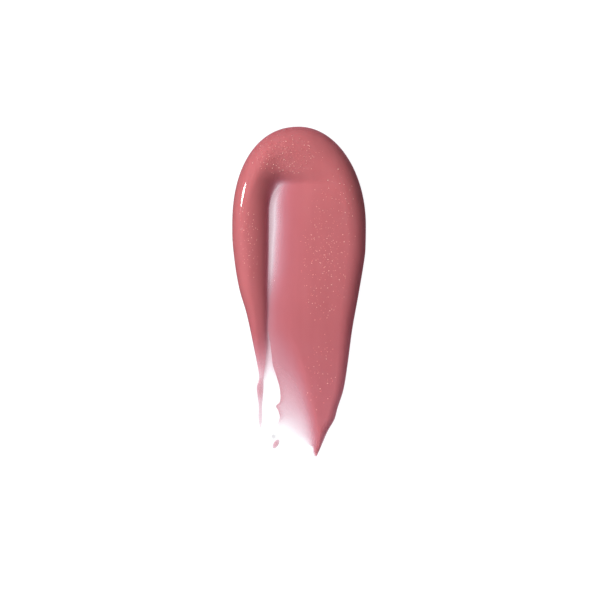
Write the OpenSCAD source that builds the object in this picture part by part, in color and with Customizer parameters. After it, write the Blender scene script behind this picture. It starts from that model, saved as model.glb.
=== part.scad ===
// Lip gloss smear: a dollop of thick tinted gloss, wiped out along -Y with the edge of a flat tool.
// The tool was tilted, so it scraped a channel that is deepest at its left side. A round bead stands
// left of the channel, a broad face rises to its right, and both thin out to a ragged tail.
// The smear lies on the plane z = 0 with its head towards +Y. Sizes are in millimetres.

/* [Smear] */
// Length from the far edge of the head to the tip of the tail
smear_len = 35; // [29:0.5:43]
// Width across the shoulders
smear_w = 14.2; // [11.5:0.1:17.5]
// Length of the round head, from its far edge back to the shoulders
head_len = 10.5; // [8.5:0.1:13]
// Height of the crown behind the far edge of the head
crown_h = 2.3; // [1.8:0.05:2.9]
// Height of the broad face at the shoulders
face_h = 1.8; // [1.4:0.05:2.2]
// Thickness left at the outer contact line
edge_t = 0.05; // [0.03:0.01:0.08]

/* [Bead] */
// Width of the bead at the shoulders
bead_w = 3.95; // [3.15:0.05:4.75]
// Height of the bead at the shoulders
bead_h = 2; // [1.5:0.05:2.5]
// Share of its width at which the bead is highest
bead_crest = 0.42; // [0.35:0.01:0.5]

/* [Channel] */
// Distance from the far edge of the head to the start of the channel
channel_start = 6.1; // [5:0.1:7.4]
// How far the rounding of the channel's top left corner reaches across
corner_w = 1.7; // [1.3:0.1:2.1]
// How far it reaches down the channel
corner_len = 3; // [2.4:0.1:3.7]
// Length of the slope from the crown down to the channel
channel_slope = 4.2; // [3.3:0.1:5.1]
// Thickness of the gloss on the channel's floor, where the tool pressed hardest
floor_t = 0.12; // [0.08:0.01:0.25]
// Width of that thin floor beside the bead
floor_w = 0.44; // [0.3:0.02:0.7]
// Width of the flat bottom of the crease further down
crease_w = 0.12; // [0.08:0.01:0.2]

/* [Tail] */
// Thickness of the clear film that the tool left between the bead and the face
film_t = 0.06; // [0.04:0.01:0.1]
// Thickness of the thin trailing strand
strand_t = 0.18; // [0.1:0.01:0.25]
// Length over which the face thins out as the gloss runs short under the tool
lift_len = 2.6; // [2:0.1:3.5]

/* [Loose specks] */
// Length of the drop that broke off behind the tail
fleck_len = 1.1; // [0.8:0.05:1.5]
// Width of that drop
fleck_w = 0.55; // [0.4:0.05:0.8]
// Height of that drop
fleck_t = 0.15; // [0.1:0.01:0.25]
// Diameter of the faint dried trace beside it
trace_d = 0.5; // [0.3:0.05:0.7]
// Thickness of that trace
trace_t = 0.04; // [0.03:0.01:0.06]

/* [Shimmer] */
// Width of a gold flake across its corners
flake_d = 0.12; // [0.08:0.01:0.2]
// Thickness of a flake
flake_t = 0.03; // [0.02:0.005:0.04]
// Steepest angle between a flake and the surface that it lies in
flake_tilt = 12; // [0:1:25]
// Number of flakes in the crown
crown_flakes = 70; // [20:1:90]
// Number of flakes in the bead
bead_flakes = 24; // [8:1:28]
// Number of flakes in the face
face_flakes = 90; // [20:1:110]
// Number of flakes in the tail
tail_flakes = 20; // [5:1:40]

/* [Hidden] */

half_w = smear_w / 2;
head_y = smear_len / 2;
shoulder_y = head_y - head_len;
tail_len = smear_len - head_len;
channel_y = head_y - channel_start;
corner_reach = 0.9; // the channel's corner ends within this share of the way to the shoulders
corner_y = channel_y - min(corner_len, corner_reach * (head_len - channel_start));
squash = corner_w / (channel_y - corner_y);

// Lines that run down the tail, as [share of the tail's length, share of the half width].
// The outer edge of the bead, down to the end of the strand
BEAD_OUTER = [
    [0, -1], [0.06, -0.997], [0.13, -0.975], [0.21, -0.937], [0.29, -0.88], [0.37, -0.796], [0.45, -0.732],
    [0.53, -0.676], [0.6, -0.628], [0.66, -0.6], [0.7, -0.634], [0.74, -0.622], [0.78, -0.606],
    [0.84, -0.606], [0.88, -0.582]
];
// Width of the bead and then of the strand, as a share of bead_w
BEAD_WIDTH = [
    [0, 1], [0.06, 0.99], [0.13, 0.945], [0.21, 0.86], [0.29, 0.74], [0.37, 0.585], [0.45, 0.455],
    [0.53, 0.34], [0.6, 0.215], [0.66, 0.125], [0.7, 0.185], [0.74, 0.15], [0.78, 0.1],
    [0.84, 0.1], [0.88, 0.015]
];
// How far the left edge of the face stands from the foot of the bead
FACE_GAP = [
    [0, 0], [0.4, 0], [0.46, 0.004], [0.52, 0.045], [0.6, 0.1], [0.66, 0.187], [0.72, 0.239],
    [0.765, 0.245], [0.782, 0.192], [0.8, 0.222], [0.83, 0.247], [0.86, 0.235], [0.89, 0.31],
    [0.92, 0.46], [0.947, 0.66], [0.96, 0.75], [0.98, 0.765], [1, 0.79]
];
// The outer edge of the face
FACE_OUTER = [
    [0, 1], [0.06, 0.998], [0.13, 0.985], [0.29, 0.895], [0.45, 0.796], [0.6, 0.727], [0.71, 0.665],
    [0.79, 0.577], [0.84, 0.528], [0.89, 0.43], [0.94, 0.355], [1, 0.265]
];
// Heights down the tail, as shares of the height at the shoulders
BEAD_TAPER = [
    [0, 1], [0.29, 0.84], [0.45, 0.58], [0.53, 0.36], [0.6, 0.2], [0.66, 0.1], [1, 0.06]
];
FACE_TAPER = [[0, 1], [0.29, 0.86], [0.53, 0.68], [0.7, 0.56], [0.84, 0.5], [0.94, 0.46], [1, 0.32]];
// Thickness along the channel's low left side, as a multiple of floor_t
FLOOR_RISE = [
    [0, 1], [0.1, 1], [0.19, 1.4], [0.27, 2.8], [0.35, 4.4], [0.46, 4.2], [0.6, 3.4], [0.71, 2.4],
    [0.8, 1.5], [0.89, 0.5], [1, 0.3]
];
// Width of the flat floor, as a share of floor_w
FLOOR_NARROWING = [
    [0, 1], [0.06, 0.72], [0.13, 0.52], [0.2, 0.44], [0.27, 0.34], [0.34, 0.14], [0.42, 0], [1, 0]
];

crotch_s = 0.46; // share of the tail's length at which the bead and the face part
neck_s = 0.66;   // share at which the bead ends and the strand starts
film_arc = 0.7;  // how far the film's broken edge curves back, as a share of its width
film_arc_steps = 10;

// Rows and columns of the body's grid
head_far_rows = 15;
head_foot_gap = 0.2; // the last row of the head before the channel stands this far from it
corner_rows = 10;
head_near_rows = 6;
upper_rows = 18;
fork_rows = 10;
tail_step = 0.015; // distance between rows below the neck, as a share of the tail's length
tongue_rows = 16;
tip_rows = 8;
film_rows = 4;
strand_rows = 15;
bead_cols = 11;
face_cols = 24;

head_power_left = 2.22; // the head is a little squarer than an ellipse on its left
head_power_right = 2;
crown_radius = 3;  // how far in from the far edge the crown reaches its full height
side_radius = 2.1; // the same at the right side of the shoulders
radius_power = 1.3; // side_radius shrinks with the height of the face to this power

liftoff_s = 0.42;     // share of the tail's length at which the gloss starts to run short
liftoff_left = -0.3;  // left of this share of half_w it does so at the same place everywhere
liftoff_curve = 0.65; // how much later it does so further to the right, in 1/mm
liftoff_soft = 0.6;   // how gently it starts
rise_power = 2.4;     // the face climbs faster near the crease when this is larger
rise_share = 0.78;    // share of the face's width over which it climbs
rise_corner = 0.35;   // how far the climb follows the channel's rounded corner
wall_power = 1.25;    // the slope from the crown is straighter when this is nearer 1
rise_soft = 0.5;      // how gently the climb starts beyond the channel
rise_soft_len = 1.5;  // how far beyond the channel that is reached

tiny = 0.001;      // keeps divisions away from zero
line_step = 0.01;  // share of the tail's length over which an outer line's slope is taken
slope_step = 0.05; // distance over which the slope of the surface is taken

// Places across and along are shares of half_w and of half the length
drop_place = [-0.345, -0.925];
drop_turn = -32;
trace_place = [-0.38, -0.88];
trace_sides = 40;

// Flakes wind outwards over an oval by the golden angle, then each moves a little
golden_angle = 137.508;
flake_jitter = 0.25; // furthest move, as a share of the gap to the next flake
flake_turn = 47;     // each flake is turned by this much from the one before
// Each oval's centre and reach, as shares of what the shimmer module sizes it by
CROWN_OVAL = [[-0.22, 0.5], [0.42, 0.36]];
BEAD_OVAL = [[0.45, 0.05], [0.26, 0.18]];
FACE_OVAL = [[0.44, 0.1], [0.3, 0.34]];
TAIL_OVAL = [[0.34, 0.64], [0.2, 0.17]];
bead_slant = -0.06; // sideways drift of an oval along its length
face_slant = 0.1;

// A smooth curve through the points [t, value] of a list
function piece(t, p, i = 0) = i >= len(p) - 2 || t <= p[i + 1][0] ? i : piece(t, p, i + 1);
function steepness(p, i) =
    let (a = max(i - 1, 0), b = min(i + 1, len(p) - 1))
    (p[b][1] - p[a][1]) / (p[b][0] - p[a][0]);
function curve(t, p) =
    let (
        i = piece(t, p),
        span = p[i + 1][0] - p[i][0],
        s = min(max((t - p[i][0]) / span, 0), 1),
        m0 = steepness(p, i) * span,
        m1 = steepness(p, i + 1) * span
    )
    p[i][1] * (2 * pow(s, 3) - 3 * s * s + 1) + m0 * (pow(s, 3) - 2 * s * s + s)
    + p[i + 1][1] * (3 * s * s - 2 * pow(s, 3)) + m1 * (pow(s, 3) - s * s);

function mix(a, b, t) = a + (b - a) * t;
// A quarter of an ellipse: 0 at 0 with an upright start, and 1 from 1 on
function round_up(t) = let (s = min(max(t, 0), 1)) sqrt(1 - (1 - s) * (1 - s));

function tail_share(y) = (shoulder_y - y) / tail_len;
function at_head(y) = y > shoulder_y;
function head_half(y, power) =
    half_w * pow(max(1 - pow((y - shoulder_y) / head_len, power), 0), 1 / power);

// Where the four lines cross the chord at y
function left_x(y) =
    at_head(y) ? -head_half(y, head_power_left) : half_w * curve(tail_share(y), BEAD_OUTER);
function right_x(y) =
    at_head(y) ? head_half(y, head_power_right) : half_w * curve(tail_share(y), FACE_OUTER);
// The foot of the bead follows the channel's rounded corner, then runs to the head's far end
function round_off(y) =
    let (q = min(max((y - corner_y) / (channel_y - corner_y), 0), 1))
    corner_w * (1 - sqrt(1 - q * q));
function foot_x(y) =
    y > channel_y ? (bead_w - half_w + corner_w) * left_x(y) / left_x(channel_y)
    : at_head(y) ? bead_w - half_w + round_off(y)
    : left_x(y) + bead_w * curve(tail_share(y), BEAD_WIDTH);
function floor_width(y) = crease_w + floor_w * curve(tail_share(y), FLOOR_NARROWING);
function face_x(y) =
    y > channel_y ? foot_x(y) - floor_width(y) * left_x(y) / half_w
    : foot_x(y) + floor_width(y)
    + (at_head(y) ? 0 : (half_w - crease_w) * curve(tail_share(y), FACE_GAP));

// How steeply an outer line leans, as the cosine that turns a sideways distance into a square one
function lean(y, p) =
    let (
        s = tail_share(y),
        change = curve(s + line_step, p) - curve(s - line_step, p),
        dx = half_w * change / (2 * line_step * tail_len)
    )
    1 / sqrt(1 + dx * dx);

function bead_radius(y) = bead_crest * max(foot_x(y) - left_x(y), tiny);
function face_radius(y) = side_radius * pow(curve(tail_share(y), FACE_TAPER), radius_power);
// Rounding at the outer edge, from 0 on the outline to 1 inside it
function head_edge(x, y) =
    let (
        n = x < 0 ? head_power_left : head_power_right,
        u = abs(x) / half_w,
        v = (y - shoulder_y) / head_len,
        f = max(pow(pow(u, n) + pow(v, n), 1 / n), tiny),
        steep_x = pow(u / f, n - 1) / half_w,
        steep_y = pow(v / f, n - 1) / head_len,
        side = x < 0 ? bead_crest * bead_w : side_radius,
        inward = (1 - f) / sqrt(steep_x * steep_x + steep_y * steep_y)
    )
    round_up(inward / mix(side, crown_radius, pow(v / f, 2)));
function tail_edge(x, y) =
    round_up((x - left_x(y)) * lean(y, BEAD_OUTER) / bead_radius(y))
    * round_up((right_x(y) - x) * lean(y, FACE_OUTER) / face_radius(y));
function edge(x, y) = at_head(y) ? head_edge(x, y) : tail_edge(x, y);

// How far up the wall of the channel a point is: 0 in the channel, 1 on top of the gloss beside it.
// The wall is round on the bead's side and an even slope on the crown's side.
function wall_share(x, y) =
    let (
        foot = at_head(y) ? bead_w - half_w : foot_x(y),
        width = (1 - bead_crest) * (foot - (at_head(y) ? -half_w : left_x(y))),
        qx = max(foot + corner_w - x, 0),
        qy = max(y - corner_y, 0) * squash,
        reach = max(sqrt(qx * qx + qy * qy), tiny),
        crest = 1 / sqrt(
            pow(qx / reach / (corner_w + width), 2)
            + pow(max(qy / reach, tiny) / (corner_w + channel_slope * squash), 2)
        ),
        up = min(max((reach - corner_w) / (crest - corner_w), 0), 1)
    )
    mix(round_up(up), 1 - pow(1 - up, wall_power), pow(qy / reach, 2));

// Height of the gloss outside the channel, and of the face where it is highest
channel_s = tail_share(channel_y);
BEAD_RISE = concat([[2 * channel_s, crown_h / bead_h], [channel_s, crown_h / bead_h]], BEAD_TAPER);
FACE_RISE = concat([[2 * channel_s, crown_h / face_h], [channel_s, crown_h / face_h]], FACE_TAPER);
function deposit(y) = bead_h * curve(tail_share(y), BEAD_RISE);
function face_top(y) = face_h * curve(tail_share(y), FACE_RISE);

// The floor of the channel and the broad face: one surface that climbs to the right. It starts
// beside the channel's rounded corner, and beyond the channel it starts gently.
function lifted(x, y) =
    let (
        across = max(x - liftoff_left * half_w, 0),
        start = shoulder_y - liftoff_s * tail_len - liftoff_curve * across * across,
        past = max((start - y) / lift_len, 0)
    )
    exp(-past * past / (past + liftoff_soft));
function bed(x, y) =
    let (
        low = at_head(y) ? bead_w - half_w + rise_corner * round_off(y) + floor_width(y) : face_x(y),
        high = at_head(y) ? half_w : right_x(y),
        taller = max(face_top(y) / face_h, 1),
        straight = (x - low) / (rise_share * taller * (high - low)),
        gentle = rise_soft * min(max((y - channel_y) / rise_soft_len, 0), 1),
        t = min((straight + sqrt(straight * straight + gentle * gentle)) / 2, 1),
        floor = floor_t * curve(tail_share(y), FLOOR_RISE),
        full = mix(floor, max(face_top(y), floor), 1 - pow(1 - t, rise_power))
    )
    mix(floor, full, lifted(x, y));

function height(x, y) = max(edge_t, edge(x, y) * mix(bed(x, y), deposit(y), wall_share(x, y)));

// Rows of points down the smear. ROWS holds their y.
function spread(a, b, n) = [for (i = [1:n]) a + (b - a) * i / n];
function steps(n) = [for (i = [1:n]) neck_s + i * tail_step];
function tail_y(shares) = [for (s = shares) shoulder_y - s * tail_len];
far_angle = acos((channel_y - shoulder_y) / head_len);
HEAD_Y = concat(
    [for (i = [0:head_far_rows - 1]) shoulder_y + head_len * cos(far_angle * i / head_far_rows)],
    [channel_y + head_foot_gap],
    [for (i = [0:corner_rows]) mix(corner_y, channel_y, cos(90 * i / corner_rows))],
    spread(corner_y, shoulder_y, head_near_rows)
);
UPPER_Y = tail_y(spread(0, crotch_s, upper_rows));
FORK_Y = tail_y(spread(crotch_s, neck_s, fork_rows));
TONGUE_Y = tail_y(steps(tongue_rows));
TIP_Y = tail_y(spread(neck_s + tongue_rows * tail_step, 1, tip_rows));
ROWS = concat(HEAD_Y, UPPER_Y, FORK_Y, TONGUE_Y, TIP_Y);
crotch_row = len(HEAD_Y) + len(UPPER_Y) - 1;
neck_row = crotch_row + len(FORK_Y);
last_row = len(ROWS) - 1;

// Columns of points across: the bead, then the face, closer together near every edge
function eased(i, n) = (1 - cos(180 * i / n)) / 2;
columns = bead_cols + 1 + face_cols + 1;
function column_x(y, j) =
    j <= bead_cols ? mix(left_x(y), foot_x(y), eased(j, bead_cols))
    : mix(face_x(y), right_x(y), eased(j - bead_cols - 1, face_cols));
function spot(i, j) = let (y = ROWS[i], x = column_x(y, j)) [x, y, height(x, y)];
function at(i, j) = i * columns + j;

// The body's outline as grid points, anticlockwise seen from above. The first row is one point.
OUTLINE = concat(
    [for (i = [0:neck_row]) at(i, 0)],
    [for (j = [1:bead_cols]) at(neck_row, j)],
    [for (i = [neck_row - 1:-1:crotch_row]) at(i, bead_cols)],
    [for (i = [crotch_row:last_row]) at(i, bead_cols + 1)],
    [for (j = [bead_cols + 2:columns - 1]) at(last_row, j)],
    [for (i = [last_row - 1:-1:1]) at(i, columns - 1)]
);
function in_body(i, j) =
    i < crotch_row || (i < neck_row && j != bead_cols) || j > bead_cols;

SPOTS = [for (i = [0:last_row]) for (j = [0:columns - 1]) spot(i, j)];

// Height of the body's flat facets at a point. Between grid points they cut under the smooth surface.
function row_at(y, i = 0) = i >= last_row - 1 || ROWS[i + 1] <= y ? i : row_at(y, i + 1);
function line_x(i, j, t) = mix(SPOTS[at(i, j)][0], SPOTS[at(i + 1, j)][0], t);
function column_at(x, i, t, j = 0) =
    j >= columns - 2 || line_x(i, j + 1, t) >= x ? j : column_at(x, i, t, j + 1);
function skin(x, y) =
    let (
        i = row_at(y),
        t = (y - ROWS[i]) / (ROWS[i + 1] - ROWS[i]),
        j = column_at(x, i, t),
        u = (x - line_x(i, j, t)) / (line_x(i, j + 1, t) - line_x(i, j, t)),
        a = SPOTS[at(i, j)][2],
        b = SPOTS[at(i, j + 1)][2],
        c = SPOTS[at(i + 1, j + 1)][2],
        d = SPOTS[at(i + 1, j)][2]
    )
    u > t ? mix(a, b, u) + (c - b) * t : mix(a, d, t) + (c - d) * u;

module gloss_body() {
    count = len(SPOTS);
    ring = len(OUTLINE);
    below = 1; // the block reaches this far under the table plane and is then cut off flat
    base = [for (k = OUTLINE) [SPOTS[k][0], SPOTS[k][1], -below]];
    top = [
        for (i = [0:last_row - 1]) for (j = [0:columns - 2]) if (in_body(i, j))
        each i == 0 ? [[at(0, 0), at(1, j + 1), at(1, j)]]
        : [[at(i, j), at(i, j + 1), at(i + 1, j + 1)], [at(i, j), at(i + 1, j + 1), at(i + 1, j)]]
    ];
    sides = [
        for (k = [0:ring - 1]) let (n = (k + 1) % ring)
        [OUTLINE[n], OUTLINE[k], count + k, count + n]
    ];
    color("palevioletred")
    intersection() {
        polyhedron(concat(SPOTS, base), concat(top, sides, [[for (k = [0:ring - 1]) count + k]]));
        translate([-smear_w, -smear_len, 0]) cube([2 * smear_w, 2 * smear_len, 2 * crown_h]);
    }
}

// A flat sheet between two lines that run down the tail
module sheet(left, right, thickness, lower_edge = []) {
    linear_extrude(thickness)
    polygon(concat(left, lower_edge, [for (k = [len(right) - 1:-1:0]) right[k]]));
}

module wiped_film() {
    rows = concat([for (i = [crotch_row:neck_row]) ROWS[i]], tail_y(steps(film_rows)));
    end = rows[len(rows) - 1];
    gap = face_x(end) - foot_x(end);
    arc = [
        for (i = [1:film_arc_steps - 1]) let (t = i / film_arc_steps)
        [foot_x(end) + gap * t, end + film_arc * gap * 4 * t * (1 - t)]
    ];
    color("mistyrose")
    sheet([for (y = rows) [foot_x(y), y]], [for (y = rows) [face_x(y), y]], film_t, arc);
}

module trailing_strand() {
    rows = concat([ROWS[neck_row]], tail_y(steps(strand_rows)));
    color("pink")
    sheet([for (y = rows) [left_x(y), y]], [for (y = rows) [foot_x(y), y]], strand_t);
}

module broken_drop() {
    color("pink")
    translate([drop_place[0] * half_w, drop_place[1] * head_y, 0]) rotate(drop_turn)
    intersection() {
        scale([fleck_w, fleck_len, 2 * fleck_t]) sphere(d = 1);
        translate([-fleck_w, -fleck_len, 0]) cube([2 * fleck_w, 2 * fleck_len, 2 * fleck_t]);
    }
}

module dried_trace() {
    color("lavenderblush")
    translate([trace_place[0] * half_w, trace_place[1] * head_y, 0])
    cylinder(d = trace_d, h = trace_t, $fn = trace_sides);
}

// Six-sided gold flakes that lie in the skin of the gloss, spread over an oval
module flakes(count, centre, reach, slant, seed) {
    gap = reach * sqrt(PI / count);
    moves = rands(-flake_jitter, flake_jitter, 2 * count, seed);
    tilts = rands(-flake_tilt, flake_tilt, 2 * count, seed + 1);
    e = slope_step;
    for (k = [0:count - 1]) {
        r = sqrt((k + 0.5) / count);
        v = r * reach[1] * sin(golden_angle * k) + moves[2 * k] * gap[1];
        x = centre[0] + r * reach[0] * cos(golden_angle * k) + moves[2 * k + 1] * gap[0] + slant * v;
        y = centre[1] + v;
        slope_x = atan((height(x + e, y) - height(x - e, y)) / (2 * e));
        slope_y = atan((height(x, y + e) - height(x, y - e)) / (2 * e));
        translate([x, y, skin(x, y) - flake_t / 2])
        rotate([slope_y + tilts[2 * k], tilts[2 * k + 1] - slope_x, flake_turn * k])
        cylinder(d = flake_d, h = flake_t, $fn = 6);
    }
}

function scaled(shares, across, along) = [shares[0] * across, shares[1] * along];

module shimmer_crown() {
    color("gold")
    flakes(crown_flakes, [0, channel_y] + scaled(CROWN_OVAL[0], half_w, channel_start),
        scaled(CROWN_OVAL[1], half_w, channel_start), 0, 11);
}
module shimmer_bead() {
    color("gold")
    flakes(bead_flakes, [-half_w, shoulder_y] + scaled(BEAD_OVAL[0], bead_w, -tail_len),
        scaled(BEAD_OVAL[1], bead_w, tail_len), bead_slant, 22);
}
module shimmer_face() {
    color("gold")
    flakes(face_flakes, [0, shoulder_y] + scaled(FACE_OVAL[0], half_w, -tail_len),
        scaled(FACE_OVAL[1], half_w, tail_len), face_slant, 33);
}
module shimmer_tail() {
    color("gold")
    flakes(tail_flakes, [0, shoulder_y] + scaled(TAIL_OVAL[0], half_w, -tail_len),
        scaled(TAIL_OVAL[1], half_w, tail_len), face_slant, 44);
}

gloss_body();
wiped_film();
trailing_strand();
broken_drop();
dried_trace();
shimmer_crown();
shimmer_bead();
shimmer_face();
shimmer_tail();
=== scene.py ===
"""Looks of the lip gloss smear: wet tinted gloss with peach-gold shimmer on a plain white table."""
import math

import bmesh
import bpy
import numpy as np
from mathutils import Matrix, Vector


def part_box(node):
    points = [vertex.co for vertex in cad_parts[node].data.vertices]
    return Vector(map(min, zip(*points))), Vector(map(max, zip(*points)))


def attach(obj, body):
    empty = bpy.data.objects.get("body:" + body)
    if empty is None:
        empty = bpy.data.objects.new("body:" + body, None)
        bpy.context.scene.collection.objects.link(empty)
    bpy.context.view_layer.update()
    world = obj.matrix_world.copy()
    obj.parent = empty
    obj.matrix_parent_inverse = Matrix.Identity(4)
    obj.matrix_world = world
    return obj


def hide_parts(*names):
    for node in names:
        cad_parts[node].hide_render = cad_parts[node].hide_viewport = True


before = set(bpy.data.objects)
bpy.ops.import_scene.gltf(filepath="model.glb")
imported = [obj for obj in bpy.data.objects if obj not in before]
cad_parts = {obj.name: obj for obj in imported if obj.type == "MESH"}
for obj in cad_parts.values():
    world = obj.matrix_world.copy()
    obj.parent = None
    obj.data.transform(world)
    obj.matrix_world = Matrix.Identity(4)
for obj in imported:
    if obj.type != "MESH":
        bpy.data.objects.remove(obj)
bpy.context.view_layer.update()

MM = 0.001


def in_mm(corners):
    return [np.array(corner) / MM for corner in corners]


# ---- Sizes, in millimetres. The overall ones come from the frame, the others match part.scad. -
body_low, body_high = in_mm(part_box("gloss_body"))
smear_w, smear_len, crown_h = body_high - body_low
head_len = 10.5
face_h = 1.8
edge_t = 0.05

bead_w = 3.95
bead_h = 2.0
bead_crest = 0.42

channel_start = 6.1
corner_w = 1.7
corner_len = 3.0
channel_slope = 4.2
floor_t = 0.12
floor_w = 0.44
crease_w = 0.12

film_t = 0.06
strand_t = 0.18
lift_len = 2.6
fleck_len = 1.1
fleck_w = 0.55
drop_turn = -32  # degrees

half_w = smear_w / 2
head_y = smear_len / 2
shoulder_y = head_y - head_len
tail_len = smear_len - head_len
channel_y = head_y - channel_start
corner_y = channel_y - corner_len
squash = corner_w / corner_len

# Shares of the tail's length
crotch_s = 0.46  # the bead and the face part
neck_s = 0.66  # the bead ends and the strand starts
film_end_s = 0.72
strand_end_s = 0.885
tip_s = 0.9  # rows of the mesh are closer together from here on
film_arc = 0.7  # how far the film's broken edge curves back, as a share of its width

head_power_left = 2.22  # the head is a little squarer than an ellipse on its left
head_power_right = 2.0
crown_radius = 3.0  # how far in from the far edge the crown reaches its full height
side_radius = 2.1  # the same at the right side of the shoulders
radius_power = 1.3  # side_radius shrinks with the height of the face to this power

liftoff_s = 0.42  # share of the tail's length at which the gloss starts to run short
liftoff_left = -0.3  # left of this share of half_w it does so at the same place everywhere
liftoff_curve = 0.65  # how much later it does so further to the right, in 1/mm
liftoff_soft = 0.6  # how gently it starts
rise_power = 2.4  # the face climbs faster near the crease when this is larger
rise_share = 0.78  # share of the face's width over which it climbs
rise_corner = 0.35  # how far the climb follows the channel's rounded corner
rise_soft = 0.5  # how gently the climb starts beyond the channel
rise_soft_len = 1.5  # how far beyond the channel that is reached
wall_power = 1.25  # the slope from the crown is straighter when this is nearer 1

tiny = 0.001  # keeps divisions away from zero
line_step = 0.01  # share of the tail's length over which an outer line's slope is taken
slope_step = 0.03  # distance over which the slope of the surface is taken

# Thick gloss levels itself: heights are averaged over five points each way, this far apart
LEVEL_WEIGHTS = [1 / 16, 4 / 16, 6 / 16, 4 / 16, 1 / 16]
level_y = 0.18
level_x = 0.05
level_x_tail = 0.2

# How much the rounded edges thin the gloss that the light crosses: along the sides, and how much
# more round the far end of the head and at the tip
side_thinning = 0.3
head_thinning = 0.35
tip_thinning = 0.5
ridge_w = 0.35  # half width of the clear ridge along the face's left edge
fade_w = 2.2  # width over which the tail fades at its ragged left edge
tip_fade_w = 0.35  # the same at the tip

# Stretches of the tail over which something changes, as shares of its length
LEVEL_STRETCH = (0.45, 0.65)  # levelling across
RAGGED_STRETCH = (0.82, 0.89)  # the left edge starts to fade
THINNING_STRETCH = (0.87, 0.95)  # the edges start to thin
TIP_STRETCH = (0.92, 0.96)  # the fading narrows

# Lines that run down the tail, as [share of the tail's length, share of the half width].
# The outer edge of the bead, down to the end of the strand
BEAD_OUTER = [
    [0, -1], [0.06, -0.997], [0.13, -0.975], [0.21, -0.937], [0.29, -0.88], [0.37, -0.796],
    [0.45, -0.732], [0.53, -0.676], [0.6, -0.628], [0.66, -0.6], [0.7, -0.634], [0.74, -0.622],
    [0.78, -0.606], [0.84, -0.606], [0.88, -0.582],
]
# Width of the bead and then of the strand, as a share of bead_w
BEAD_WIDTH = [
    [0, 1], [0.06, 0.99], [0.13, 0.945], [0.21, 0.86], [0.29, 0.74], [0.37, 0.585],
    [0.45, 0.455], [0.53, 0.34], [0.6, 0.215], [0.66, 0.125], [0.7, 0.185], [0.74, 0.15],
    [0.78, 0.1], [0.84, 0.1], [0.88, 0.015],
]
# How far the left edge of the face stands from the foot of the bead
FACE_GAP = [
    [0, 0], [0.4, 0], [0.46, 0.004], [0.52, 0.045], [0.6, 0.1], [0.66, 0.187], [0.72, 0.239],
    [0.765, 0.245], [0.782, 0.192], [0.8, 0.222], [0.83, 0.247], [0.86, 0.235], [0.89, 0.31],
    [0.92, 0.46], [0.947, 0.66], [0.96, 0.75], [0.98, 0.765], [1, 0.79],
]
# The outer edge of the face
FACE_OUTER = [
    [0, 1], [0.06, 0.998], [0.13, 0.985], [0.29, 0.895], [0.45, 0.796], [0.6, 0.727],
    [0.71, 0.665], [0.79, 0.577], [0.84, 0.528], [0.89, 0.43], [0.94, 0.355], [1, 0.265],
]
# Heights down the tail, as shares of the height at the shoulders
BEAD_TAPER = [
    [0, 1], [0.29, 0.84], [0.45, 0.58], [0.53, 0.36], [0.6, 0.2], [0.66, 0.1], [1, 0.06],
]
FACE_TAPER = [
    [0, 1], [0.29, 0.86], [0.53, 0.68], [0.7, 0.56], [0.84, 0.5], [0.94, 0.46], [1, 0.32],
]
# Thickness along the channel's low left side, as a multiple of floor_t
FLOOR_RISE = [
    [0, 1], [0.1, 1], [0.19, 1.4], [0.27, 2.8], [0.35, 4.4], [0.46, 4.2], [0.6, 3.4], [0.71, 2.4],
    [0.8, 1.5], [0.89, 0.5], [1, 0.3],
]
# Width of the flat floor, as a share of floor_w
FLOOR_NARROWING = [
    [0, 1], [0.06, 0.72], [0.13, 0.52], [0.2, 0.44], [0.27, 0.34], [0.34, 0.14], [0.42, 0], [1, 0],
]

channel_s = (shoulder_y - channel_y) / tail_len
BEAD_RISE = [[2 * channel_s, crown_h / bead_h], [channel_s, crown_h / bead_h]] + BEAD_TAPER
FACE_RISE = [[2 * channel_s, crown_h / face_h], [channel_s, crown_h / face_h]] + FACE_TAPER

# Depth of gloss that the light crosses, in millimetres: the clear ridge along the face's left edge,
# the film and the strand, each down its own length, and how much deeper the tip looks
RIDGE_DEPTH = [[0.6, 0], [0.7, 0.08], [0.8, 0.1], [0.84, 0.07], [0.9, 0]]
FILM_DEPTH = [[0, 0.35], [0.2, 0.28], [0.4, 0.18], [0.57, 0.13], [0.73, 0.06], [0.9, 0.01], [1, 0]]
STRAND_DEPTH = [[0, 0.28], [0.25, 0.36], [0.45, 0.22], [0.64, 0.16], [0.9, 0.1], [1, 0.02]]
TIP_DEEPER = [[0.86, 1], [0.93, 1.2], [0.955, 1.8], [0.975, 3], [1, 3]]


# ---- The shape of the gloss, as functions of x and y in millimetres ---------------------------
def curve(t, points):
    """A smooth curve through the points [t, value]."""
    at, value = np.array(points, float).T
    last = len(at) - 1
    before = np.maximum(np.arange(last + 1) - 1, 0)
    after = np.minimum(np.arange(last + 1) + 1, last)
    slope = (value[after] - value[before]) / (at[after] - at[before])
    i = np.clip(np.searchsorted(at, t, "left") - 1, 0, last - 1)
    span = at[i + 1] - at[i]
    s = np.clip((t - at[i]) / span, 0, 1)
    return (
        value[i] * (2 * s**3 - 3 * s**2 + 1)
        + slope[i] * span * (s**3 - 2 * s**2 + s)
        + value[i + 1] * (3 * s**2 - 2 * s**3)
        + slope[i + 1] * span * (s**3 - s**2)
    )


def mix(a, b, t):
    return a + (b - a) * t


def change(t, start, end):
    """0 up to start, 1 from end on and smooth between them."""
    s = np.clip((t - start) / (end - start), 0, 1)
    return s * s * (3 - 2 * s)


def round_up(t):
    """A quarter of an ellipse: 0 at 0 with an upright start, and 1 from 1 on."""
    return np.sqrt(1 - (1 - np.clip(t, 0, 1)) ** 2)


def tail_share(y):
    return (shoulder_y - y) / tail_len


def at_head(y):
    return y > shoulder_y


def head_half(y, power):
    share = np.clip((y - shoulder_y) / head_len, 0, 1)
    return half_w * (1 - share**power) ** (1 / power)


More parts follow.
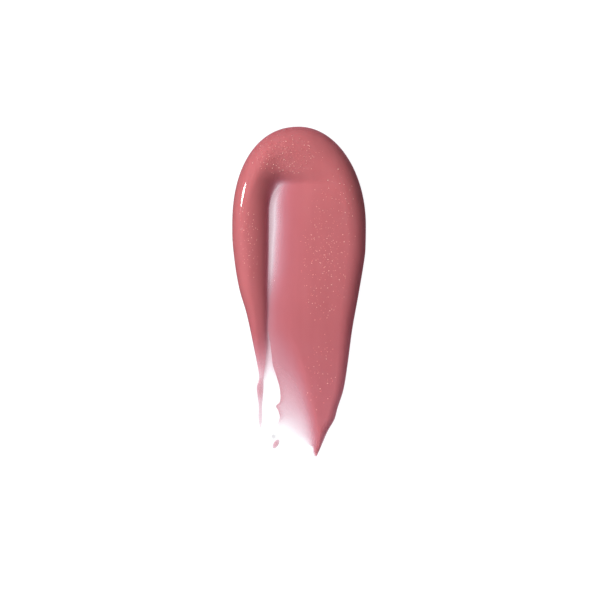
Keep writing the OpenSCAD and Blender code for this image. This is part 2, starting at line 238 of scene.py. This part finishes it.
def left_x(y):
    tail = half_w * curve(tail_share(y), BEAD_OUTER)
    return np.where(at_head(y), -head_half(y, head_power_left), tail)


def right_x(y):
    tail = half_w * curve(tail_share(y), FACE_OUTER)
    return np.where(at_head(y), head_half(y, head_power_right), tail)


def round_off(y):
    """How far the channel's rounded corner has moved the bead's foot to the right."""
    q = np.clip((y - channel_y) / corner_len + 1, 0, 1)
    return corner_w * (1 - np.sqrt(1 - q * q))


def foot_x(y):
    """The foot of the bead. It follows the channel's corner, then runs to the head's far end."""
    start = bead_w - half_w
    beyond = (start + corner_w) * left_x(y) / left_x(np.array(channel_y))
    tail = left_x(y) + bead_w * curve(tail_share(y), BEAD_WIDTH)
    return np.where(y > channel_y, beyond, np.where(at_head(y), start + round_off(y), tail))


def floor_width(y):
    return crease_w + floor_w * curve(tail_share(y), FLOOR_NARROWING)


def face_x(y):
    """The left edge of the face."""
    gap = np.where(at_head(y), 0, (half_w - crease_w) * curve(tail_share(y), FACE_GAP))
    beyond = foot_x(y) - floor_width(y) * left_x(y) / half_w
    return np.where(y > channel_y, beyond, foot_x(y) + floor_width(y) + gap)


def lean(y, points):
    """Turns a sideways distance to a line into the square one."""
    s = tail_share(y)
    sideways = curve(s + line_step, points) - curve(s - line_step, points)
    dx = half_w * sideways / (2 * line_step * tail_len)
    return 1 / np.sqrt(1 + dx * dx)


def head_edge(x, y):
    """Rounding at the head's outline: 0 on the outline and 1 inside it."""
    power = np.where(x < 0, head_power_left, head_power_right)
    u = abs(x) / half_w
    v = np.clip((y - shoulder_y) / head_len, 0, None)
    f = np.maximum((u**power + v**power) ** (1 / power), tiny)
    steep_x = (u / f) ** (power - 1) / half_w
    steep_y = (v / f) ** (power - 1) / head_len
    steep = np.maximum(np.hypot(steep_x, steep_y), tiny)
    side = np.where(x < 0, bead_crest * bead_w, side_radius)
    return round_up((1 - f) / steep / mix(side, crown_radius, (v / f) ** 2))


def tail_edge(x, y):
    """The same along the tail's two outer lines."""
    bead_radius = bead_crest * np.maximum(foot_x(y) - left_x(y), tiny)
    face_radius = side_radius * curve(tail_share(y), FACE_TAPER) ** radius_power
    left = round_up((x - left_x(y)) * lean(y, BEAD_OUTER) / bead_radius)
    right = round_up((right_x(y) - x) * lean(y, FACE_OUTER) / face_radius)
    return left * right


def wall_share(x, y):
    """How far up the channel's wall a point is: 0 in the channel, 1 on top beside it."""
    foot = np.where(at_head(y), bead_w - half_w, foot_x(y))
    width = (1 - bead_crest) * (foot - np.where(at_head(y), -half_w, left_x(y)))
    qx = np.maximum(foot + corner_w - x, 0)
    qy = np.maximum(y - corner_y, 0) * squash
    reach = np.maximum(np.hypot(qx, qy), tiny)
    share_x = qx / reach / (corner_w + width)
    share_y = qy / reach / (corner_w + channel_slope * squash)
    crest = 1 / np.maximum(np.hypot(share_x, share_y), tiny)
    up = np.clip((reach - corner_w) / (crest - corner_w), 0, 1)
    return mix(round_up(up), 1 - (1 - up) ** wall_power, (qy / reach) ** 2)


def lifted(x, y):
    """How much of the face is left as the gloss runs short: 1 up the tail, then less."""
    across = np.maximum(x - liftoff_left * half_w, 0)
    start = shoulder_y - liftoff_s * tail_len - liftoff_curve * across**2
    past = np.maximum((start - y) / lift_len, 0)
    return np.exp(-past * past / (past + liftoff_soft))


def bed(x, y):
    """Height of the channel's floor and the broad face, one surface that climbs to the right."""
    start = bead_w - half_w + rise_corner * round_off(y) + floor_width(y)
    low = np.where(at_head(y), start, face_x(y))
    high = np.where(at_head(y), half_w, right_x(y))
    taller = np.maximum(curve(tail_share(y), FACE_RISE), 1)
    straight = (x - low) / (rise_share * taller * (high - low))
    gentle = rise_soft * np.clip((y - channel_y) / rise_soft_len, 0, 1)
    t = np.minimum((straight + np.hypot(straight, gentle)) / 2, 1)
    floor = floor_t * curve(tail_share(y), FLOOR_RISE)
    top = np.maximum(face_h * curve(tail_share(y), FACE_RISE), floor)
    return mix(floor, mix(floor, top, 1 - (1 - t) ** rise_power), lifted(x, y))


def edge_share(x, y):
    return np.where(at_head(y), head_edge(x, y), tail_edge(x, y))


def full_height(x, y):
    """The height without the rounding at the outline, levelled a little as thick gloss does."""
    step_x = mix(level_x, level_x_tail, change(tail_share(y), *LEVEL_STRETCH))
    total = 0
    for i, weight_x in zip(range(-2, 3), LEVEL_WEIGHTS):
        for j, weight_y in zip(range(-2, 3), LEVEL_WEIGHTS):
            at_x, at_y = x + i * step_x, y + j * level_y
            deposit = bead_h * curve(tail_share(at_y), BEAD_RISE)
            point = mix(bed(at_x, at_y), deposit, wall_share(at_x, at_y))
            total = total + weight_x * weight_y * point
    return total


def height(x, y):
    return np.maximum(edge_t, edge_share(x, y) * full_height(x, y))


def optical_depth(x, y):
    """Thickness that the pigment works over. The steep sides look through more of the gloss."""
    s = tail_share(y)
    thinning = side_thinning + head_thinning * change(y, shoulder_y, head_y)
    thinning = thinning + tip_thinning * change(s, *THINNING_STRETCH)
    depth = full_height(x, y) * np.clip(edge_share(x, y), 0, 1) ** thinning
    ridge = curve(s, RIDGE_DEPTH) * np.exp(-(((x - face_x(y)) / ridge_w) ** 2))
    width = mix(fade_w, tip_fade_w, change(s, *TIP_STRETCH))
    ragged_end = mix(1, change(x - face_x(y), 0, width), change(s, *RAGGED_STRETCH))
    return (depth + ridge) * curve(s, TIP_DEEPER) * ragged_end


# ---- Meshes -----------------------------------------------------------------------------------
def spread(a, b, n):
    """n even steps from a to b, without a itself."""
    return [a + (b - a) * i / n for i in range(1, n + 1)]


def eased(n):
    """Shares from 0 to 1 in n steps that are small at both ends."""
    return (1 - np.cos(np.pi * np.arange(n + 1) / n)) / 2


def tail_y(shares):
    return [shoulder_y - s * tail_len for s in shares]


def closed_sheet(x, y, z, depth, cells=True):
    """A solid over a grid: top, flat underside and the walls between them. cells says which
    cells of the grid it fills. Gives the vertices, the faces and the depth at each vertex."""
    rows, columns = x.shape
    count = rows * columns
    top = np.dstack([x, y, z]).reshape(-1, 3)
    under = top * [1, 1, 0]
    faces = []
    edges = {}
    for i, j in zip(*np.nonzero(np.broadcast_to(cells, (rows - 1, columns - 1)))):
        a = i * columns + j
        b, c, d = a + columns, a + columns + 1, a + 1
        faces.append((a, b, c, d))
        faces.append((a + count, d + count, c + count, b + count))
        for p, q in ((a, b), (b, c), (c, d), (d, a)):
            if (q, p) in edges:
                del edges[q, p]
            else:
                edges[p, q] = True
    faces += [(q, p, p + count, q + count) for p, q in edges]
    used = np.zeros(2 * count, bool)
    used[np.concatenate([np.array(f) for f in faces])] = True
    renumber = np.cumsum(used) - 1
    faces = [tuple(int(renumber[k]) for k in f) for f in faces]
    depth = np.tile(np.broadcast_to(depth, x.shape).reshape(-1), 2)
    return np.vstack([top, under])[used], faces, depth[used]


def new_mesh(name, vertices, faces, material):
    """A mesh from vertices in millimetres."""
    mesh = bpy.data.meshes.new(name)
    mesh.from_pydata([tuple(c * MM for c in v) for v in vertices], [], faces)
    mesh.materials.append(material)
    return mesh


def place(name, data):
    """A new object in the scene."""
    thing = bpy.data.objects.new(name, data)
    bpy.context.scene.collection.objects.link(thing)
    return thing


def smooth_shading(mesh):
    """Merges doubled points and shades smooth, with a sharp edge all round the underside."""
    tidy = bmesh.new()
    tidy.from_mesh(mesh)
    bmesh.ops.remove_doubles(tidy, verts=tidy.verts, dist=1e-9)
    bmesh.ops.dissolve_degenerate(tidy, edges=tidy.edges, dist=1e-9)
    bmesh.ops.recalc_face_normals(tidy, faces=tidy.faces)
    for face in tidy.faces:
        face.smooth = True
    for edge in tidy.edges:
        normals = [face.normal.z for face in edge.link_faces]
        edge.smooth = not (len(normals) == 2 and min(normals) < -0.9 and max(normals) > -0.5)
    tidy.to_mesh(mesh)
    tidy.free()


def add_piece(name, sheet, material, replaces=()):
    """A smooth closed piece of gloss in the frame."""
    vertices, faces, depth = sheet
    mesh = new_mesh(name, vertices, faces, material)
    layer = mesh.attributes.new("depth", "FLOAT", "POINT")
    layer.data.foreach_set("value", np.asarray(depth, np.float32))
    smooth_shading(mesh)
    piece = place(name, mesh)
    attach(piece, "root")
    if replaces:
        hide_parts(*replaces)


# ---- Materials --------------------------------------------------------------------------------
def node_tree(name):
    material = bpy.data.materials.new(name)
    material.use_nodes = True
    tree = material.node_tree
    return material, tree, tree.nodes["Principled BSDF"]


def math_node(tree, operation, *values, clamp=False):
    node = tree.nodes.new("ShaderNodeMath")
    node.operation = operation
    node.use_clamp = clamp
    for socket, value in zip(node.inputs, values):
        if isinstance(value, (int, float)):
            socket.default_value = value
        else:
            tree.links.new(value, socket)
    return node.outputs[0]


def between(tree, value, low, high):
    """Turns a value from 0 to 1 into one from low to high."""
    node = tree.nodes.new("ShaderNodeMapRange")
    node.inputs["To Min"].default_value = low
    node.inputs["To Max"].default_value = high
    tree.links.new(value, node.inputs["Value"])
    return node.outputs[0]


def ramp(tree, value, stops):
    node = tree.nodes.new("ShaderNodeValToRGB")
    elements = node.color_ramp.elements
    while len(elements) < len(stops):
        elements.new(0.5)
    for element, (position, colour) in zip(elements, stops):
        element.position = position
        element.color = (*colour, 1)
    tree.links.new(value, node.inputs[0])
    return node.outputs[0]


def srgb(r, g, b):
    """Linear colour of an sRGB one given in 0 to 255."""
    return tuple(
        c / 12.92 if c <= 0.04045 else ((c + 0.055) / 1.055) ** 2.4
        for c in (r / 255, g / 255, b / 255)
    )


def noise(tree, scale):
    """Noise over the object, with scale waves to a millimetre along each axis."""
    where = tree.nodes.new("ShaderNodeTexCoord")
    mapping = tree.nodes.new("ShaderNodeMapping")
    mapping.inputs["Scale"].default_value = [s / MM for s in scale]
    tree.links.new(where.outputs["Object"], mapping.inputs["Vector"])
    node = tree.nodes.new("ShaderNodeTexNoise")
    node.inputs["Scale"].default_value = 1.0
    node.inputs["Detail"].default_value = 3.0
    tree.links.new(mapping.outputs[0], node.inputs["Vector"])
    return node.outputs["Fac"]


FULL_DEPTH = 2.4  # millimetres of gloss at the end of a list of stops
GLOSS_STOPS = [
    (0.0, srgb(216, 158, 205)),
    (0.06, srgb(218, 155, 182)),
    (0.12, srgb(219, 141, 154)),
    (0.2, srgb(216, 132, 140)),
    (0.35, srgb(216, 125, 129)),
    (1.0, srgb(212, 118, 121)),
]
# Pale grey, for the small faint trace near the tail's end
GREY_TRACE_STOPS = [(0.0, srgb(205, 203, 205)), (1.0, srgb(210, 195, 200))]
STREAK_STOPS = [(0.3, (0.94, 0.91, 0.91)), (0.7, (1.0, 1.0, 1.0))]
# Absorbed by each millimetre, in red, green and blue, and scattered back
GLOSS_ABSORBED = (0.4, 1.55, 1.2)
GREY_TRACE_ABSORBED = (1.2, 1.3, 1.2)
SCATTERED = 2.0


def gloss_material(name, stops, absorbed):
    """Tinted gloss. Its colour and how far the table shows through follow its thickness."""
    material, tree, shader = node_tree(name)
    depth = tree.nodes.new("ShaderNodeAttribute")
    depth.attribute_name = "depth"
    depth = depth.outputs["Fac"]
    tint = ramp(tree, math_node(tree, "DIVIDE", depth, FULL_DEPTH, clamp=True), stops)

    # Pigment is stirred in unevenly, in soft streaks along the wipe
    uneven = tree.nodes.new("ShaderNodeMix")
    uneven.data_type = "RGBA"
    uneven.blend_type = "MULTIPLY"
    uneven.inputs["Factor"].default_value = 1.0
    tree.links.new(tint, uneven.inputs["A"])
    tree.links.new(ramp(tree, noise(tree, (0.9, 0.12, 0.9)), STREAK_STOPS), uneven.inputs["B"])
    tree.links.new(uneven.outputs["Result"], shader.inputs["Base Color"])

    # Seen through, the table takes on the gloss's tint. A ray crosses two surfaces, and each
    # holds back half.
    passed = tree.nodes.new("ShaderNodeCombineColor")
    for channel, rate in zip(passed.inputs, absorbed):
        left = math_node(tree, "EXPONENT", math_node(tree, "MULTIPLY", depth, -rate / 2))
        tree.links.new(left, channel)
    clear = tree.nodes.new("ShaderNodeBsdfTransparent")
    tree.links.new(passed.outputs[0], clear.inputs["Color"])
    unscattered = math_node(tree, "EXPONENT", math_node(tree, "MULTIPLY", depth, -SCATTERED / 2))
    body = tree.nodes.new("ShaderNodeMixShader")
    tree.links.new(unscattered, body.inputs[0])
    tree.links.new(shader.outputs[0], body.inputs[1])
    tree.links.new(clear.outputs[0], body.inputs[2])
    tree.links.new(body.outputs[0], tree.nodes["Material Output"].inputs["Surface"])

    rough = between(tree, noise(tree, (0.6, 0.3, 0.6)), 0.05, 0.11)
    tree.links.new(rough, shader.inputs["Roughness"])
    bump = tree.nodes.new("ShaderNodeBump")
    bump.inputs["Strength"].default_value = 0.01
    bump.inputs["Distance"].default_value = 0.02 * MM
    tree.links.new(noise(tree, (1.6, 0.35, 1.6)), bump.inputs["Height"])
    tree.links.new(bump.outputs[0], shader.inputs["Normal"])

    shader.inputs["IOR"].default_value = 1.47
    shader.inputs["Subsurface Weight"].default_value = 0.15
    shader.inputs["Subsurface Radius"].default_value = (1.0, 0.4, 0.35)
    shader.inputs["Subsurface Scale"].default_value = 0.5 * MM
    return material


def shimmer_material(name, dark, dull, painted_glint):
    """Pearl flakes, each with a colour drawn at random. The bright end is a painted glint, in place of
    a flake catching the light.
    """
    material, tree, shader = node_tree(name)
    island = tree.nodes.new("ShaderNodeNewGeometry").outputs["Random Per Island"]
    # Random colour per flake, from dark through dull to a painted glint at the bright end
    colour = ramp(tree, island, [(0.0, dark), (0.3, dull), (0.6, dull), (1.0, painted_glint)])
    tree.links.new(colour, shader.inputs["Base Color"])
    # Painted light: a faint glow in the flake's own colour lightens its shaded side, in place of light
    # scattered in the gloss around it
    tree.links.new(colour, shader.inputs["Emission Color"])
    shader.inputs["Emission Strength"].default_value = 0.07
    tree.links.new(between(tree, island, 0.25, 0.5), shader.inputs["Roughness"])
    shader.inputs["Coat Weight"].default_value = 0.15
    shader.inputs["Coat Roughness"].default_value = 0.2
    return material


gloss = gloss_material("gloss", GLOSS_STOPS, GLOSS_ABSORBED)
grey_trace = gloss_material("grey_trace", GREY_TRACE_STOPS, GREY_TRACE_ABSORBED)
# The last colour of each is the painted glint of the brightest flakes
flake = shimmer_material(
    "shimmer", srgb(194, 106, 108), srgb(212, 122, 122), srgb(255, 222, 206)
)
fine_flake = shimmer_material(
    "fine_shimmer", srgb(190, 102, 106), srgb(208, 117, 118), srgb(252, 198, 184)
)
for node in ("shimmer_crown", "shimmer_bead", "shimmer_face", "shimmer_tail"):
    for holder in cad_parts[node].material_slots:
        holder.material = flake


# ---- The thick gloss --------------------------------------------------------------------------
def smear():
    bead_columns, face_columns = 44, 96
    far_rows, corner_rows, near_rows = 56, 40, 12
    upper_rows, fork_rows, tongue_rows, tip_rows = 80, 40, 60, 36
    far_angle = math.acos((channel_y - shoulder_y) / head_len)
    far = [shoulder_y + head_len * math.cos(far_angle * i / far_rows) for i in range(far_rows)]
    foot = [mix(far[-1], channel_y, t) for t in (0.5, 0.75, 0.9)]  # closer by the channel
    corner = [
        corner_y + corner_len * math.cos(math.pi / 2 * i / corner_rows)
        for i in range(corner_rows + 1)
    ]
    near = spread(corner_y, shoulder_y, near_rows)
    upper = tail_y(spread(0, crotch_s, upper_rows))
    fork = tail_y(spread(crotch_s, neck_s, fork_rows))
    tongue = tail_y(spread(neck_s, tip_s, tongue_rows))
    tip = tail_y(spread(tip_s, 1, tip_rows))
    rows = np.array(far + foot + corner + near + upper + fork + tongue + tip)
    crotch_row = len(far + foot + corner + near + upper) - 1
    neck_row = crotch_row + len(fork)

    y = rows[:, None]
    x = np.hstack([
        mix(left_x(y), foot_x(y), eased(bead_columns)),
        mix(face_x(y), right_x(y), eased(face_columns)),
    ])
    y = np.broadcast_to(y, x.shape)
    i, j = np.indices((x.shape[0] - 1, x.shape[1] - 1))
    above_crotch = i < crotch_row
    above_neck = (i < neck_row) & (j != bead_columns)
    cells = above_crotch | above_neck | (j > bead_columns)
    sheet = closed_sheet(x, y, height(x, y), optical_depth(x, y), cells)
    add_piece("gloss_smear", sheet, gloss, ["gloss_body"])


# ---- Thin leftovers ---------------------------------------------------------------------------
def film():
    """The film between the bead and the face. It thins out to an edge that curves back."""
    end_share, left_deeper = 0.3, 1.2
    across = np.linspace(0, 1, 25)[None, :]
    down = np.linspace(0, 1, 61)[:, None]
    start = shoulder_y - crotch_s * tail_len
    end = shoulder_y - film_end_s * tail_len
    gap = float(face_x(np.array(end)) - foot_x(np.array(end)))
    stop = end + film_arc * gap * 4 * across * (1 - across)
    y = mix(start, stop, down)
    x = mix(foot_x(y), face_x(y), across)
    z = film_t * mix(1, end_share, np.broadcast_to(down, x.shape))
    depth = curve(down, FILM_DEPTH) * (1 + left_deeper * (1 - across) ** 2)
    add_piece("film_veil", closed_sheet(x, y, z, depth), gloss, ["wiped_film"])


def strand():
    """The strand that runs on from the bead's tip, round on top and lower at its end."""
    side_t, end_share, side_depth = 0.02, 0.35, 0.4
    across = eased(16)[None, :]
    shares = np.linspace(neck_s, strand_end_s, 81)[:, None]
    y = shoulder_y - shares * tail_len
    x = mix(left_x(y), foot_x(y), across)
    y = np.broadcast_to(y, x.shape)
    down = (shares - neck_s) / (strand_end_s - neck_s)
    ridge = np.sqrt(np.maximum(1 - (2 * across - 1) ** 2, 0))
    z = side_t + (strand_t - side_t) * ridge * mix(1, end_share, down)
    depth = curve(down, STRAND_DEPTH) * mix(side_depth, 1, ridge)
    sheet = closed_sheet(x, y, z, depth)
    add_piece("thin_strand", sheet, gloss, ["trailing_strand"])


def dome(name, node, thickness, material, turn=0.0, size=None):
    """A low round drop over the footprint of a CAD node. Its colour goes by thickness in mm."""
    rim_t, rim_depth = 0.005, 0.15
    low, high = in_mm(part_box(node))
    centre = (low + high) / 2
    size = size or (high - low)[:2]
    angle = np.linspace(0, 2 * np.pi, 49)[None, :]
    radius = np.sin(np.pi / 2 * np.linspace(0, 1, 13))[:, None]
    u = size[0] / 2 * radius * np.cos(angle)
    v = size[1] / 2 * radius * np.sin(angle)
    x = centre[0] + u * math.cos(turn) - v * math.sin(turn)
    y = centre[1] + u * math.sin(turn) + v * math.cos(turn)
    swell = np.broadcast_to(np.sqrt(np.maximum(1 - radius**2, 0)), x.shape)
    z = rim_t + (high[2] - rim_t) * swell
    sheet = closed_sheet(x, y, z, thickness * mix(rim_depth, 1, swell))
    add_piece(name, sheet, material, [node])


# ---- Fine shimmer: small pearl plates in the skin, besides the CAD's larger ones ---------------
def fine_shimmer(name, count, node, widen, slant, seed):
    """Six-sided plates over the slanted oval that a CAD node's flakes fill, nearly flat in the skin."""
    half_t, sunk, tilt_spread = 0.004, 0.002, 0.1
    left_margin, right_margin = 0.4, 0.5
    low, high = in_mm(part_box(node))
    centre, reach = (low + high) / 2, (high - low) / 2 * (widen, 1, 1)
    draw = np.random.default_rng(seed)
    angle = draw.uniform(0, 2 * np.pi, count)
    r = draw.uniform(0, 1, count) ** 0.7  # a little closer together in the middle
    v = r * reach[1] * np.sin(angle)
    x = centre[0] + r * reach[0] * np.cos(angle) + slant * v
    y = centre[1] + v
    size = draw.uniform(0.03, 0.055, count)
    tilt = draw.normal(0, tilt_spread, (2, count))
    spin = draw.uniform(0, np.pi / 3, count)
    e = slope_step
    slope_x = (height(x + e, y) - height(x - e, y)) / (2 * e) + tilt[0]
    slope_y = (height(x, y + e) - height(x, y - e)) / (2 * e) + tilt[1]
    z = height(x, y) - sunk
    inside = (x > left_x(y) + left_margin) & (x < right_x(y) - right_margin)
    vertices, faces = [], []
    for i in np.nonzero(inside)[0]:
        first = len(vertices)
        for dz in (-half_t, half_t):
            for k in range(6):
                a = spin[i] + k * math.pi / 3
                dx, dy = size[i] * math.cos(a), size[i] * math.sin(a)
                slope = slope_x[i] * dx + slope_y[i] * dy
                vertices.append((x[i] + dx, y[i] + dy, z[i] + dz + slope))
        faces.append(tuple(first + 5 - k for k in range(6)))
        faces.append(tuple(first + 6 + k for k in range(6)))
        for k in range(6):
            n = (k + 1) % 6
            faces.append((first + k, first + n, first + 6 + n, first + 6 + k))
    piece = place(name, new_mesh(name, vertices, faces, fine_flake))
    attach(piece, "root")


smear()
film()
strand()
dome("loose_drop", "broken_drop", 0.3, gloss, math.radians(drop_turn), (fleck_w, fleck_len))
dome("faint_trace", "dried_trace", 0.12, grey_trace)
fine_shimmer("fine_shimmer_crown", 220, "shimmer_crown", 1.5, 0, 1)
fine_shimmer("fine_shimmer_bead", 80, "shimmer_bead", 1, -0.06, 2)
fine_shimmer("fine_shimmer_face", 300, "shimmer_face", 1.4, 0.1, 3)
fine_shimmer("fine_shimmer_tail", 50, "shimmer_tail", 1.3, 0.1, 4)


# ---- Table, light and camera ------------------------------------------------------------------
def table():
    """A table just under the gloss. It shows white, but lights the gloss no more than a grey one."""
    half_side, drop = 1.5, 0.02 * MM
    material, tree, shader = node_tree("white_table")
    shader.inputs["Base Color"].default_value = (0.15, 0.15, 0.155, 1)
    shader.inputs["Roughness"].default_value = 0.9
    shader.inputs["Specular IOR Level"].default_value = 0.0
    path = tree.nodes.new("ShaderNodeLightPath")
    tree.links.new(path.outputs["Is Camera Ray"], shader.inputs["Emission Strength"])
    shader.inputs["Emission Color"].default_value = (0.96, 0.96, 0.97, 1)
    mesh = bpy.data.meshes.new("table")
    corners = [(-half_side, -half_side, 0), (half_side, -half_side, 0)]
    corners += [(half_side, half_side, 0), (-half_side, half_side, 0)]
    mesh.from_pydata(corners, [], [(0, 1, 2, 3)])
    mesh.materials.append(material)
    floor = place("table", mesh)
    floor.location.z = -drop


def area_light(name, shape, azimuth, elevation, distance, size, radiance):
    """azimuth turns anticlockwise from +X. The light faces the middle of the smear."""
    a, e = math.radians(azimuth), math.radians(elevation)
    data = bpy.data.lights.new(name, "AREA")
    data.shape = shape
    data.size, data.size_y = size
    data.energy = radiance * math.pi * size[0] * size[1]
    light = place(name, data)
    away = np.array([math.cos(e) * math.cos(a), math.cos(e) * math.sin(a), math.sin(e)])
    light.location = away * distance
    light.rotation_euler = (math.pi / 2 - e, 0, a + math.pi / 2)
    return light


def room():
    """Soft light from all round. It is brighter on the side that the lights stand on."""
    world = bpy.data.worlds.new("studio")
    world.use_nodes = True
    tree = world.node_tree
    background = tree.nodes["Background"]
    background.inputs["Color"].default_value = (0.92, 0.92, 1.0, 1)
    toward = tree.nodes.new("ShaderNodeTexCoord")
    split = tree.nodes.new("ShaderNodeSeparateXYZ")
    falloff = tree.nodes.new("ShaderNodeMapRange")
    falloff.inputs["From Min"].default_value = -1
    falloff.inputs["To Min"].default_value = 0.5
    falloff.inputs["To Max"].default_value = 0.1
    tree.links.new(toward.outputs["Generated"], split.inputs[0])
    tree.links.new(split.outputs["X"], falloff.inputs["Value"])
    tree.links.new(falloff.outputs[0], background.inputs["Strength"])
    bpy.context.scene.world = world


def camera():
    """Looks straight down. view_width is what it sees across the frame, at the table."""
    view_width, view_height = 63.7 * MM, 0.5
    data = bpy.data.cameras.new("camera")
    data.sensor_width = 36
    data.lens = data.sensor_width * view_height / view_width
    data.clip_start = 0.01
    viewer = place("camera", data)
    viewer.location = (0.1 * MM, -0.91 * MM, view_height)
    bpy.context.scene.camera = viewer


table()
key = area_light("key", "RECTANGLE", 155, 51, 0.6, (0.3, 0.3), 12.6)
key.visible_glossy = False
strip = area_light("strip", "ELLIPSE", 168, 21, 0.6, (0.15, 0.17), 40)
strip.visible_diffuse = False
room()
camera()
bpy.context.scene.view_settings.view_transform = "Standard"
